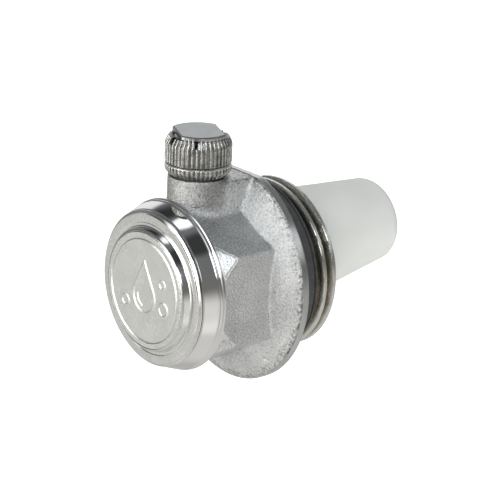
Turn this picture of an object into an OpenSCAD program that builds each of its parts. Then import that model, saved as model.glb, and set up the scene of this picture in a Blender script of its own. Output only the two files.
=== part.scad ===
// Automatic air vent for the end port of a radiator, with a side-acting float.
// The main axis is Y: the cover faces -Y, the float reaches out towards +Y.
// +Z is up, through the vent knob. The origin is on the main axis where the
// sealing ring ends and the free thread starts. All sizes are in millimetres.

/* [Radiator thread] */
// Major diameter of the G1 pipe thread
thread_d = 33.25; // [33.0:0.05:33.4]
// Free length of the thread behind the sealing ring
thread_l = 5.0; // [4:0.5:8]
// Bore through the threaded spigot
spigot_bore_d = 28.4; // [27.8:0.2:29]
// Length of the sealing ring between the flange and the free thread
seal_l = 6.2; // [5:0.2:7]
// Outside diameter of the sealing ring
seal_d = 34.2; // [33.8:0.1:35]

/* [Flange and hexagon] */
// Outside diameter of the flange
flange_d = 42.6; // [41:0.2:44]
// Width of the turned band round the flange
flange_rim = 1.5; // [1:0.1:2]
// Depth of the flange's conical face for each millimetre of radius
flange_slope = 0.457; // [0.35:0.01:0.55]
// Width across the hexagon's flats
hex_af = 30; // [29:0.5:30.5]
// Distance from the flange's back to the hexagon's chamfer
hex_l = 12.4; // [12:0.1:13]

/* [Collar and cover] */
// Distance from the flange's back to the collar's back edge
collar_back = 15.8; // [15.4:0.1:16.4]
// Diameter at the collar's back edge
collar_d = 33.0; // [32:0.2:34]
// Diameter of the cover's rim
cover_d = 30.0; // [29:0.2:31]
// Thickness of the cover's rim
cover_rim = 0.75; // [0.7:0.05:1]
// Diameter of the raised disc on the cover
disc_d = 23.6; // [22:0.2:25]
// Height of the raised disc
disc_h = 1.5; // [1:0.1:2]

/* [Vent boss and knob] */
// Half the width of the boss, which is also its nose radius
boss_r = 5.65; // [5.2:0.05:6]
// Height of the boss's flat top above the main axis
boss_top = 20.2; // [19.8:0.1:20.8]
// Distance from the flange's back to the knob's axis
knob_back = 10.35; // [10:0.05:10.6]
// Radius over the knob's knurl
knob_r = 6.3; // [6.1:0.1:6.6]
// Height of the knurled knob
knob_h = 7.2; // [7:0.1:7.4]
// Ridges round the knob
knurl_count = 44; // [36:2:52]
// Width across the flats of the knob's top plate
plate_af = 8.4; // [8:0.1:9]

/* [Float] */
// Distance from the origin to the float's far end
float_reach = 29.4; // [27:0.2:31]
// Radius of the float's far end
float_tip_r = 8.45; // [8:0.05:9]
// Radius of the float's straight front half
float_r = 11.1; // [10.6:0.1:11.3]
// Wall of the hollow float
float_wall = 1.1; // [0.9:0.1:1.4]
// How far the float points upwards while it holds the valve shut, in degrees
float_tilt = 4; // [3:0.5:5]

/* [Hidden] */
$fn = 96;
EPS = 0.01;

chrome = "#c9ccd0";
satin = "#a9adb0";
brass = "#b8975a";
steel = "#9aa0a6";
rubber = "#2b2b2d";
white_pp = "#e9e9e4";

// Planes along the main axis, from the flange's back at -seal_l.
flange_y = -seal_l;
hex_front_y = flange_y - hex_l;
collar_y = flange_y - collar_back;
cover_seat_y = collar_y - 4.5;
cover_front_y = cover_seat_y - cover_rim;
knob_y = flange_y - knob_back;
hex_corner_r = hex_af / sqrt(3);
flange_r = flange_d / 2;
thread_r = thread_d / 2;
neck_r = thread_r - 1.2;

// Cavity inside the body, and the flat block on its roof that carries the valve.
cavity_r = 13;
block_z = 9.5;
block_x = 8;
block_y0 = knob_y - 4.9;
block_y1 = knob_y + 5.2;

// Cover thread: the cover's skirt turns in the body's mouth.
mouth_r = 13.6;
mouth_end_y = collar_y - 0.1;
skirt_r = mouth_r - 0.05;
skirt_inner_r = 11.8;
cover_wall = 0.6;
cover_groove_w = 1.1;
cover_groove_d = 0.85;

// Valve on the knob's axis, from the stem's foot up to the nozzle's neck.
well_r = 3.0;
nozzle_r = 2.97;
nozzle_head_r = 4.15;
washer_t = 0.4;
nozzle_head_z = boss_top - 0.9;
neck_top = 24.2;
seat_z = 12.05;
stem_r = 0.8;
stem_bottom = 6.6;
stem_top = 11.35;
pad_gap = 0.06;
guide_low = 9.6;
spring_top = 9.58;

// Float lever: a pin across the body, in front of the valve.
lever_l = 6.0;
pivot_y = knob_y - lever_l;
pivot_z = 4.6;
pin_r = 1.0;
ear_x = 3.6;
ear_t = 0.8;
ear_r = 2.2;
bracket_t = 0.8;
bracket_half_w = 7.6;
bracket_half_l = 2.6;
screw_x = 6.1;
screw_r = 0.78;
screw_head_r = 1.35;

// The lever's strip steps down behind the valve to the float's tongue.
arm_w = 5;
arm_t = 1.2;
arm_high_z = stem_bottom - 0.1;
arm_low_z = 2.6;
arm_step_y = pivot_y + 11.3;
rivet_y = pivot_y + 14.2;
rivet_r = 0.7;
rivet_head_r = 1.3;
tongue_t = 1.8;

// Float, from its far end back to its open front and the cap that closes it.
float_axis_z = 4.35;
float_l = 33.8;
float_taper_l = 24;
float_round = 3.0;
float_cap_t = 1.2;
float_plug_l = 2.5;

// Knob, from just above its O-ring, which a low ring on the boss keeps in place.
seat_ring_h = 0.55;
knob_z = boss_top + 0.95;
knob_top = knob_z + knob_h;
knob_bore_r = 3.03;
knob_recess_r = 5.15;
chamber_r = 4.7;
chamber_z = knob_z + 3.65;
plate_z = knob_top + 0.1;
plate_t = 0.85;
plate_turn = -24.5;
plate_r = 5.6;
// Directions and width of the four air slots under the top plate.
slot_turns = [-98, -43, 82, 137];
slot_w = 1.0;

// Turns a radius-height outline round the main axis, with heights along +Y.
module turned(points) {
    rotate([-90, 0, 0]) rotate_extrude() polygon(points);
}

// Puts a child built on the Z axis onto the knob's axis.
module at_valve() {
    translate([0, knob_y, 0]) children();
}

// A straight bar across the body along X, centred on the lever's pin.
module cross_bar(r, half) {
    translate([-half, pivot_y, pivot_z]) rotate([0, 90, 0]) cylinder(r = r, h = 2 * half);
}

// Puts a child built along +Y from the float's front face onto the float's tilted axis.
module on_float() {
    translate([0, float_reach, float_axis_z]) rotate([float_tilt, 0, 0]) children();
}

module hexagon_prism() {
    intersection() {
        translate([0, hex_front_y - 3.3, 0]) rotate([-90, 0, 0])
            rotate([0, 0, 30]) cylinder(r = hex_corner_r, h = hex_l + 1.5, $fn = 6);
        turned([
            [0, hex_front_y - 4], [16.0, hex_front_y - 4],
            [hex_corner_r + 0.6, hex_front_y + 0.8], [hex_corner_r + 0.6, flange_y], [0, flange_y]
        ]);
    }
}

module flange_and_spigot() {
    cone_r = 12;
    turned([
        [0, flange_y - flange_rim - flange_slope * (flange_r - cone_r)],
        [cone_r, flange_y - flange_rim - flange_slope * (flange_r - cone_r)],
        [flange_r, flange_y - flange_rim], [flange_r, flange_y - 0.2], [flange_r - 0.2, flange_y],
        [seal_d / 2 + 0.05, flange_y], [seal_d / 2 + 0.05, flange_y - 0.4],
        [neck_r, flange_y - 0.4], [neck_r, 0], [thread_r, 0],
        [thread_r, thread_l - 0.5], [thread_r - 0.5, thread_l], [0, thread_l]
    ]);
}

module collar() {
    collar_r = collar_d / 2;
    gap = 0.15;
    bead = 0.35;
    turned([
        [0, cover_seat_y + gap], [cover_d / 2 - 0.1, cover_seat_y + gap],
        [cover_d / 2 + 0.1, cover_seat_y + gap + 0.25], [collar_r - bead, collar_y - 0.55],
        [collar_r, collar_y - 0.3], [collar_r, collar_y - 0.05], [0, collar_y + 1]
    ]);
}

// The vent boss: a round nose, a block back to the flange, and a raised ring under the knob.
module boss() {
    at_valve() cylinder(r = boss_r, h = boss_top + seat_ring_h);
    translate([-boss_r, knob_y, 0])
        cube([2 * boss_r, flange_y - flange_rim / 2 - knob_y, boss_top]);
}

// The space above the flat that is ground across the top of the flange.
module top_flat() {
    translate([-flange_r, knob_y + boss_r, boss_top])
        cube([2 * flange_r, flange_y - knob_y - boss_r + 1, 4]);
}

module valve_block() {
    intersection() {
        translate([-block_x, block_y0, block_z]) cube([2 * block_x, block_y1 - block_y0, 6]);
        rotate([90, 0, 0]) cylinder(r = cavity_r + 0.8, h = 60, center = true);
    }
}

module body() {
    color(satin) difference() {
        union() {
            difference() {
                union() {
                    collar();
                    hexagon_prism();
                    flange_and_spigot();
                    boss();
                }
                top_flat();
                turned([
                    [0, cover_seat_y - 1], [mouth_r, cover_seat_y - 1], [mouth_r, mouth_end_y],
                    [cavity_r, mouth_end_y + 0.6], [cavity_r, flange_y - 2],
                    [spigot_bore_d / 2, flange_y - 0.8], [spigot_bore_d / 2, thread_l + 1],
                    [0, thread_l + 1]
                ]);
            }
            valve_block();
        }
        at_valve() translate([0, 0, block_z - 1]) cylinder(r = well_r, h = 20);
        at_valve() translate([0, 0, nozzle_head_z - washer_t])
            cylinder(r = nozzle_head_r + 0.1, h = 2);
        at_valve() translate([0, 0, boss_top]) cylinder(r = knob_recess_r, h = 2);
        for (x = [-screw_x, screw_x])
            translate([x, knob_y, block_z - 1]) cylinder(r = screw_r + 0.02, h = 3.6, $fn = 24);
    }
}

module port_seal() {
    inner = neck_r + 0.02;
    outer = seal_d / 2;
    color(rubber) turned([
        [inner, flange_y - 0.38], [outer, flange_y - 0.38],
        [outer, -1.0], [outer - 0.3, -0.3], [outer - 0.75, -0.02], [inner, -0.02]
    ]);
}

module front_cover() {
    rim_r = cover_d / 2;
    disc_r = disc_d / 2;
    front = cover_front_y - disc_h;
    color(chrome) turned([
        [0, front], [disc_r - 0.5, front], [disc_r, front + 0.4],
        [disc_r + 0.35, cover_front_y - 0.35], [disc_r + 0.9, cover_front_y],
        [rim_r - 0.5, cover_front_y], [rim_r, cover_front_y + 0.4],
        [rim_r, cover_seat_y - 0.1], [rim_r - 0.1, cover_seat_y],
        [skirt_r - cover_groove_d, cover_seat_y],
        [skirt_r - cover_groove_d, cover_seat_y + cover_groove_w],
        [skirt_r, cover_seat_y + cover_groove_w], [skirt_r, mouth_end_y - 0.3],
        [skirt_r - 0.3, mouth_end_y - 0.1], [skirt_inner_r, mouth_end_y - 0.1],
        [skirt_inner_r - 0.2, cover_front_y + 2 * cover_wall],
        [skirt_inner_r - 1, cover_front_y + cover_wall], [0, cover_front_y + cover_wall]
    ]);
}

module cover_o_ring() {
    wire = 0.42;
    color(rubber) translate([0, cover_seat_y + cover_groove_w / 2, 0]) rotate([-90, 0, 0])
        rotate_extrude() translate([mouth_r - wire - 0.03, 0]) circle(r = wire, $fn = 32);
}

// Knurled outline: ridges and valleys taken alternately.
function knurl(r, depth, n) = [
    for (i = [0 : 4 * n - 1])
        let (a = 90 * i / n, q = (i % 4 < 2) ? r : r - depth) [q * cos(a), q * sin(a)]
];

module vent_knob() {
    groove_z = knob_z + 2.15;
    color(chrome) at_valve() difference() {
        intersection() {
            translate([0, 0, knob_z]) linear_extrude(height = knob_h + EPS)
                polygon(knurl(knob_r, 0.28, knurl_count));
            rotate_extrude() polygon([
                [0, knob_z], [5.5, knob_z], [knob_r - 0.1, knob_z + 0.9], [knob_r + 0.1, knob_z + 1.0],
                [knob_r + 0.1, groove_z - 0.25], [knob_r - 0.45, groove_z],
                [knob_r + 0.1, groove_z + 0.25], [knob_r + 0.1, knob_top - 1.0],
                [knob_r - 0.1, knob_top - 0.8], [knob_r - 1.0, knob_top], [0, knob_top]
            ]);
        }
        translate([0, 0, knob_z - 1]) cylinder(r = knob_bore_r, h = 6);
        translate([0, 0, knob_z - 1]) cylinder(r = knob_recess_r, h = 1.35);
        translate([0, 0, chamber_z]) cylinder(r = chamber_r, h = 5);
        for (a = slot_turns) rotate([0, 0, a])
            translate([chamber_r - 0.5, -slot_w / 2, knob_top - 1]) cube([3, slot_w, 2]);
    }
}

module knob_top_plate() {
    color(chrome) at_valve() rotate([0, 0, plate_turn]) difference() {
        rotate_extrude() polygon([
            [0, knob_top - 0.6], [chamber_r - 0.02, knob_top - 0.6],
            [chamber_r - 0.02, plate_z], [plate_r - 0.1, plate_z], [plate_r, plate_z + 0.1],
            [plate_r, plate_z + plate_t - 0.3], [plate_r - 0.3, plate_z + plate_t],
            [0, plate_z + plate_t]
        ]);
        for (side = [-1, 1]) translate([-8, side * (plate_af / 2 + 2) - 2, knob_top + 0.05])
            cube([16, 4, 3]);
        for (a = slot_turns) rotate([0, 0, a - plate_turn])
            translate([chamber_r - 1.5, -slot_w / 2, knob_top - 1]) cube([1.6, slot_w, 1.05]);
    }
}

module knob_o_ring() {
    wire = 0.43;
    ring_r = knob_recess_r - wire - 0.07;
    color(rubber) at_valve() translate([0, 0, boss_top + wire + 0.02])
        rotate_extrude() translate([ring_r, 0]) circle(r = wire, $fn = 32);
}

module disc_carrier() {
    color(brass) at_valve() difference() {
        rotate_extrude() polygon([
            [0, chamber_z + 0.15], [chamber_r - 0.3, chamber_z + 0.15],
            [chamber_r - 0.3, chamber_z + 0.85], [chamber_r - 0.6, chamber_z + 0.85],
            [chamber_r - 0.6, chamber_z + 0.45], [0, chamber_z + 0.45]
        ]);
        for (a = [0 : 60 : 300]) rotate([0, 0, a]) translate([2.4, 0, chamber_z])
            cylinder(r = 0.55, h = 2, $fn = 24);
    }
}

module hygroscopic_discs() {
    color("#d8c7a0") at_valve() for (i = [0 : 3])
        translate([0, 0, chamber_z + 0.5 + 0.4 * i]) difference() {
            cylinder(r = chamber_r - 0.7, h = 0.36);
            translate([0, 0, -1]) cylinder(r = 0.6, h = 3, $fn = 24);
        }
}

module vent_nozzle() {
    color(brass) at_valve() difference() {
        rotate_extrude() polygon([
            [0, seat_z], [1.15, seat_z], [1.35, seat_z + 0.4], [nozzle_r, seat_z + 0.45],
            [nozzle_r, nozzle_head_z], [nozzle_head_r, nozzle_head_z],
            [nozzle_head_r, boss_top - 0.1], [nozzle_r, boss_top - 0.1],
            [nozzle_r, neck_top - 0.3], [nozzle_r - 0.3, neck_top],
            [0, neck_top]
        ]);
        translate([0, 0, seat_z - 1]) cylinder(r = 0.6, h = 6, $fn = 32);
        translate([0, 0, seat_z + 2]) cylinder(r = 1.5, h = 14, $fn = 48);
    }
}

module nozzle_washer() {
    color("#a5623a") at_valve() translate([0, 0, nozzle_head_z - washer_t]) difference() {
        cylinder(r = nozzle_head_r, h = washer_t);
        translate([0, 0, -1]) cylinder(r = nozzle_r + 0.03, h = 3);
    }
}

module stem_guide() {
    color("#d9d6cc") at_valve() difference() {
        rotate_extrude() polygon([
            [stem_r + 0.05, guide_low], [nozzle_r, guide_low], [nozzle_r, seat_z + 0.4],
            [2.15, seat_z + 0.4], [2.15, guide_low + 0.55], [stem_r + 0.05, guide_low + 0.55]
        ]);
        for (a = [45 : 90 : 315]) rotate([0, 0, a]) translate([1.5, -0.4, guide_low - 0.6])
            cube([0.9, 0.8, 2]);
    }
}

module shutter_stem() {
    color(steel) at_valve() rotate_extrude() polygon([
        [0, stem_bottom], [0.45, stem_bottom], [stem_r, stem_bottom + 0.3],
        [stem_r, stem_bottom + 0.5], [1.5, stem_bottom + 0.5], [1.5, stem_bottom + 0.85],
        [stem_r, stem_bottom + 0.85],
        [stem_r, stem_top - 0.35], [1.9, stem_top - 0.35],
        [1.9, stem_top], [0, stem_top]
    ]);
}

module shutter_pad() {
    color(rubber) at_valve() translate([0, 0, stem_top])
        cylinder(r = 1.8, h = seat_z - pad_gap - stem_top);
}

// Helical wire spring with closed ends, as rings of points swept up the axis.
module helix_wire(coil_r, wire, length, turns) {
    steps = 20;
    sides = 8;
    n = steps * turns;
    rings = [for (i = [0 : n]) [
        for (j = [0 : sides - 1])
            let (a = 360 * i / steps, t = i / n, b = 360 * j / sides,
                 rise = wire + (length - 2 * wire) * (0.5 - 0.5 * cos(180 * t)) * 0.5
                      + (length - 2 * wire) * t * 0.5,
                 q = coil_r + wire * cos(b))
            [q * cos(a), q * sin(a), rise + wire * sin(b)]
    ]];
    polyhedron(
        points = [for (ring = rings) each ring],
        faces = concat(
            [[for (j = [0 : sides - 1]) j]],
            [for (i = [0 : n - 1], j = [0 : sides - 1])
                let (k = (j + 1) % sides)
                [i * sides + k, i * sides + j, (i + 1) * sides + j, (i + 1) * sides + k]],
            [[for (j = [sides - 1 : -1 : 0]) n * sides + j]]
        )
    );
}

module stem_spring() {
    low = stem_bottom + 0.87;
    color(steel) at_valve() translate([0, 0, low])
        helix_wire(coil_r = 1.2, wire = 0.14, length = spring_top - low, turns = 4);
}

module pivot_bracket() {
    base_z = block_z - bracket_t;
    foot_y = knob_y + bracket_half_l;
    color(steel) difference() {
        union() {
            translate([-bracket_half_w, knob_y - bracket_half_l, base_z])
                cube([2 * bracket_half_w, 2 * bracket_half_l, bracket_t - 0.02]);
            for (side = [-1, 1]) translate([side * (ear_x + ear_t / 2) - ear_t / 2, 0, 0])
                rotate([90, 0, 90]) linear_extrude(height = ear_t) union() {
                    polygon([
                        [pivot_y - 1.5, pivot_z + 1.6], [pivot_y + 0.8, pivot_z - 2],
                        [foot_y - 1.2, base_z - 1.4], [foot_y, base_z],
                        [foot_y, block_z - 0.02], [foot_y - 2 * bracket_half_l, block_z - 0.02],
                        [pivot_y + 0.8, pivot_z + ear_r]
                    ]);
                    translate([pivot_y, pivot_z]) circle(r = ear_r);
                }
        }
        at_valve() translate([0, 0, block_z - 3]) cylinder(r = 2.5, h = 5);
        for (x = [-screw_x, screw_x])
            translate([x, knob_y, block_z - 3]) cylinder(r = 0.9, h = 5, $fn = 24);
        cross_bar(pin_r + 0.02, ear_x + ear_t + 1);
    }
}

module bracket_screws() {
    head_z = block_z - bracket_t;
    color(steel) for (x = [-screw_x, screw_x]) translate([x, knob_y, 0]) difference() {
        union() {
            translate([0, 0, head_z - 0.02]) cylinder(r = screw_r, h = 3.0, $fn = 24);
            translate([0, 0, head_z - 0.9]) cylinder(r = screw_head_r, h = 0.88, $fn = 32);
        }
        translate([-2, -0.2, head_z - 1.2]) cube([4, 0.4, 0.7]);
    }
}

module hinge_pin() {
    color(steel) cross_bar(pin_r, ear_x + ear_t + 0.85);
}

module pin_clips() {
    color(steel) for (side = [-1, 1]) difference() {
        translate([side * (ear_x + ear_t + 0.3) - 0.2, pivot_y, pivot_z]) rotate([0, 90, 0])
            cylinder(r = 1.8, h = 0.4, $fn = 48);
        cross_bar(pin_r + 0.01, 8);
        translate([-8, pivot_y - 0.6, pivot_z - 3]) cube([16, 1.2, 3]);
    }
}

// The lever: a hub on the pin, a pad under the stem, and a strip to the float.
module lever_arm() {
    color(steel) difference() {
        union() {
            cross_bar(2.0, ear_x - 0.25);
            translate([-arm_w / 2, pivot_y, arm_high_z - arm_t])
                cube([arm_w, arm_step_y + arm_t - pivot_y, arm_t]);
            translate([-arm_w / 2, arm_step_y, arm_low_z])
                cube([arm_w, arm_t, arm_high_z - arm_low_z]);
            translate([-arm_w / 2, arm_step_y, arm_low_z]) cube([arm_w, 5.2, arm_t]);
        }
        cross_bar(pin_r + 0.05, 8);
        translate([0, rivet_y, arm_low_z - 1]) cylinder(r = rivet_r + 0.02, h = 4, $fn = 24);
    }
}

module arm_rivet() {
    head_t = 0.5;
    color(steel) translate([0, rivet_y, 0]) {
        translate([0, 0, arm_low_z - tongue_t])
            cylinder(r = rivet_r, h = tongue_t + arm_t + 0.02, $fn = 24);
        for (z = [arm_low_z + arm_t, arm_low_z - tongue_t - head_t])
            translate([0, 0, z]) cylinder(r = rivet_head_r, h = head_t, $fn = 32);
    }
}

// Outline of the float from its far end (height 0) back to its open front.
function arc(r, c, from, to, n) = [
    for (i = [0 : n]) let (a = from + (to - from) * i / n) [c[0] + r * cos(a), c[1] + r * sin(a)]
];

module float_shell() {
    taper = float_r - float_tip_r;
    inner_tip = float_tip_r - float_wall;
    color(white_pp) on_float() rotate([-90, 0, 0]) rotate_extrude() polygon(concat(
        [[0, 0]],
        arc(float_round, [float_tip_r - float_round, -float_round], 90, 7, 10),
        [[float_r, -float_taper_l], [float_r, -float_l], [float_r - float_wall, -float_l]],
        [[float_r - float_wall, -float_taper_l], [inner_tip, -float_round]],
        [[inner_tip - 2, -float_wall], [0, -float_wall]]
    ));
}

module float_end_cap() {
    inner = float_r - float_wall - 0.02;
    face_y = -float_l - float_cap_t;
    tongue_half_w = 3.2;
    color(white_pp) {
        on_float() rotate([-90, 0, 0]) rotate_extrude() polygon([
            [0, face_y], [float_r, face_y], [float_r, -float_l],
            [inner, -float_l], [inner, -float_l + float_plug_l],
            [inner - 1, -float_l + float_plug_l], [inner - 1, -float_l + 0.2], [0, -float_l + 0.2]
        ]);
        difference() {
            translate([-tongue_half_w, rivet_y - 1.9, arm_low_z - tongue_t])
                cube([2 * tongue_half_w, 8, tongue_t - 0.02]);
            translate([0, rivet_y, arm_low_z - 5]) cylinder(r = rivet_r + 0.02, h = 8, $fn = 24);
            on_float() translate([-20, face_y + 0.4, -20]) cube([40, 40, 40]);
        }
    }
}

body();
port_seal();
front_cover();
cover_o_ring();
vent_knob();
knob_top_plate();
knob_o_ring();
disc_carrier();
hygroscopic_discs();
vent_nozzle();
nozzle_washer();
stem_guide();
shutter_stem();
shutter_pad();
stem_spring();
pivot_bracket();
bracket_screws();
hinge_pin();
pin_clips();
lever_arm();
arm_rivet();
float_shell();
float_end_cap();
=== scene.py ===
"""Automatic air vent for a radiator's end port: the visual model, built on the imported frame."""
import math

import bmesh
import bpy
import numpy as np
from mathutils import Matrix, Vector


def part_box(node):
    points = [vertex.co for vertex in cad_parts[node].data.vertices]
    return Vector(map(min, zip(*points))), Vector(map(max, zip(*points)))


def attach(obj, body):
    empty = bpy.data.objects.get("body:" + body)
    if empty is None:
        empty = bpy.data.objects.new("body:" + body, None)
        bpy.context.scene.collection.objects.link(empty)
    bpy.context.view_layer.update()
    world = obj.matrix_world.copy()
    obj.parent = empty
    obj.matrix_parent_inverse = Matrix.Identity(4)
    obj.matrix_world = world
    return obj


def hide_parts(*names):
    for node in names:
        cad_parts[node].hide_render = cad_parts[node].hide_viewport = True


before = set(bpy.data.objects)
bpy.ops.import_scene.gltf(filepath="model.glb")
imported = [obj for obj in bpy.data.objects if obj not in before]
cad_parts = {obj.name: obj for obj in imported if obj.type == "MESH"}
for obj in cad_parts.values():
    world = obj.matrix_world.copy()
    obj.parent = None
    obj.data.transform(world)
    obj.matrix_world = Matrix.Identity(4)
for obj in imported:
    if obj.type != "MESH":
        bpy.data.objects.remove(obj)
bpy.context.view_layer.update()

MM = 0.001


# ---------------------------------------------------------------- sizes, in millimetres

def node_box(name):
    """A CAD node's lowest and highest corners, in millimetres."""
    low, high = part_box(name)
    return np.array(low) / MM, np.array(high) / MM


BODY_HIGH = node_box("body")[1]
COVER_LOW, COVER_HIGH = node_box("front_cover")
KNOB_LOW, KNOB_HIGH = node_box("vent_knob")
PLATE_LOW, PLATE_HIGH = node_box("knob_top_plate")

# The main axis is y, with the cover at its low end; the knob stands on z.
# Spigot, seal and flange.
THREAD_R = 33.25 / 2
THREAD_PITCH = 25.4 / 11
THREAD_DEEP = 1.2
THREAD_END = BODY_HIGH[1]
SPIGOT_BORE_R = 14.2
NECK_R = 15.4
SEAL_R = 17.1
FLANGE_R = BODY_HIGH[0]
FLANGE_BACK = -6.2
FLANGE_RIM = 1.5
FLANGE_SLOPE = 0.457
RAGGED_WAVES, RAGGED_DEEP = (23, 41, 67, 97), 0.035
DIMPLE_TURN, DIMPLE_R, DIMPLE_SIZE = math.radians(-49), 19.0, 0.75
DIMPLE_AT = (
    DIMPLE_R * math.cos(DIMPLE_TURN),
    FLANGE_BACK - FLANGE_RIM - FLANGE_SLOPE * (FLANGE_R - DIMPLE_R) - 0.45,
    DIMPLE_R * math.sin(DIMPLE_TURN))
# Hexagon and collar.
FORGING_CELL = 0.27
HEX_HALF = 15.0
HEX_CORNER = 2 * HEX_HALF / math.sqrt(3)
HEX_FRONT = FLANGE_BACK - 12.0
CHAMFER_SLOPE = 0.46
COLLAR_BACK = FLANGE_BACK - 15.8
COLLAR_R = 16.5
CAVITY_R = 13.0
# Cover.
COVER_R = COVER_HIGH[0]
COVER_FRONT = COVER_LOW[1] + 1.5
COVER_SEAT = COVER_FRONT + 0.75
COVER_PITCH, COVER_THREAD_DEEP = 1.0, 0.42
MOUTH_R = 13.6
DISC_R = 11.8
RELIEF_RING_R = 10.0
# Vent boss, and the recesses in it.
BOSS_R = 5.65
BOSS_FOOT = 5.0
BOSS_TOP = 20.2
NOSE_FADE = 13.5
SEAT_TOP = BOSS_TOP + 0.55
SEAT_RECESS_R = 5.15
WASHER_RECESS_R, WASHER_RECESS_DEEP = 4.25, 1.3
NOZZLE_BORE_R = 3.0
# Knob and plate.
KNOB_Y = (KNOB_LOW[1] + KNOB_HIGH[1]) / 2
KNOB_R = KNOB_HIGH[0]
PLATE_R = 5.6
GROOVE = KNOB_LOW[2] + 2.0
# Float: its far end, its axis there, and its lengths from that end.
FLOAT_REACH = 29.39
FLOAT_AXIS_Z = 4.35
FLOAT_TILT = math.radians(4)
FLOAT_LENGTH = 33.8
FLOAT_TAPER = 24.0
FLOAT_TIP_R = 8.45
FLOAT_BUTT_R = 11.1
FLOAT_WALL = 1.1
FLOAT_END_ROUND = 3.0


# ---------------------------------------------------------------- mesh making

def finish_mesh(name, points, faces, sharp=38):
    """A Blender object from points in millimetres, with its faces turned outwards."""
    mesh = bpy.data.meshes.new(name)
    mesh.from_pydata([tuple(p) for p in np.asarray(points) * MM], [], faces)
    work = bmesh_of(mesh)
    work.to_mesh(mesh)
    work.free()
    mesh.shade_smooth()
    mesh.set_sharp_from_angle(angle=math.radians(sharp))
    piece = bpy.data.objects.new(name, mesh)
    bpy.context.scene.collection.objects.link(piece)
    return piece


def bmesh_of(mesh):
    """The mesh as a bmesh, doubles merged and normals outwards."""
    work = bmesh.new()
    work.from_mesh(mesh)
    bmesh.ops.remove_doubles(work, verts=work.verts, dist=1e-7)
    bmesh.ops.recalc_face_normals(work, faces=work.faces)
    return work


def rounded(outline, radius=0.12, steps=3):
    """A closed outline of (radius, height) with its corners turned into small arcs.

    A point may hold a third number, its own corner radius.
    """
    count = len(outline)
    result = []
    for i, point in enumerate(outline):
        here = np.array(point[:2], float)
        corner = point[2] if len(point) > 2 else radius
        before = np.array(outline[i - 1][:2], float) - here
        after = np.array(outline[(i + 1) % count][:2], float) - here
        reach_a, reach_b = np.linalg.norm(before), np.linalg.norm(after)
        if here[0] <= 0 or corner <= 0 or min(reach_a, reach_b) == 0:
            result.append(tuple(here))
            continue
        before, after = before / reach_a, after / reach_b
        half = math.acos(max(-1, min(1, float(before @ after)))) / 2
        cut = min(corner / max(math.tan(half), 1e-3), 0.45 * reach_a, 0.45 * reach_b)
        start, end = here + before * cut, here + after * cut
        for k in range(steps + 1):
            t = k / steps
            result.append(tuple(start * (1 - t) ** 2 + here * 2 * t * (1 - t) + end * t ** 2))
    return result


def divided(outline, longest):
    """The same closed outline with its long runs divided, so that a relief has points to move."""
    result = []
    for i, here in enumerate(outline):
        after = outline[(i + 1) % len(outline)]
        gap = math.dist(here, after)
        pieces = max(1, math.ceil(gap / longest))
        for k in range(pieces):
            t = k / pieces
            result.append((here[0] * (1 - t) + after[0] * t, here[1] * (1 - t) + after[1] * t))
    return result


def turn(outline, around=256, relief=None, closed=True):
    """Points (across, up, along) and faces of an outline turned round the along axis.

    relief(radius, height, angle) gives the radius and the height of each point.
    """
    radius = np.array([p[0] for p in outline])
    height = np.array([p[1] for p in outline])
    angle = np.arange(around) * 2 * math.pi / around
    r, a = np.meshgrid(radius, angle, indexing="ij")
    h = np.repeat(height[:, None], around, axis=1)
    if relief is not None:
        r, h = relief(r, h, a)
    points = np.stack([r * np.cos(a), r * np.sin(a), h], -1).reshape(-1, 3)
    rings = len(outline)
    faces = []
    for i in range(rings if closed else rings - 1):
        k = (i + 1) % rings
        if radius[i] == 0 and radius[k] == 0:
            continue
        for j in range(around):
            m = (j + 1) % around
            quad = [i * around + j, i * around + m, k * around + m, k * around + j]
            if radius[i] == 0:
                quad = [quad[0], quad[2], quad[3]]
            elif radius[k] == 0:
                quad = [quad[0], quad[1], quad[2]]
            faces.append(quad)
    return points, faces


def on_main_axis(points):
    """Turned points laid along the vent's main axis."""
    return np.stack([points[:, 0], points[:, 2], points[:, 1]], -1)


def on_knob_axis(points):
    """Turned points stood on the vent knob's axis."""
    return points + np.array([0, KNOB_Y, 0])


def on_float_axis(points):
    """Turned points laid along the float's tilted axis, heights counted from its far end."""
    along, up = points[:, 2], points[:, 1]
    c, s = math.cos(FLOAT_TILT), math.sin(FLOAT_TILT)
    return np.stack([
        points[:, 0], FLOAT_REACH + along * c - up * s, FLOAT_AXIS_Z + along * s + up * c], -1)


def soft_max(a, b, k):
    """The larger of two distances, blended over k where they meet."""
    h = np.clip(0.5 + 0.5 * (a - b) / k, 0, 1)
    return a * h + b * (1 - h) + k * h * (1 - h)


def soft_min(a, b, k):
    """The smaller of two distances, blended over k where they meet."""
    return -soft_max(-a, -b, k)


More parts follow.
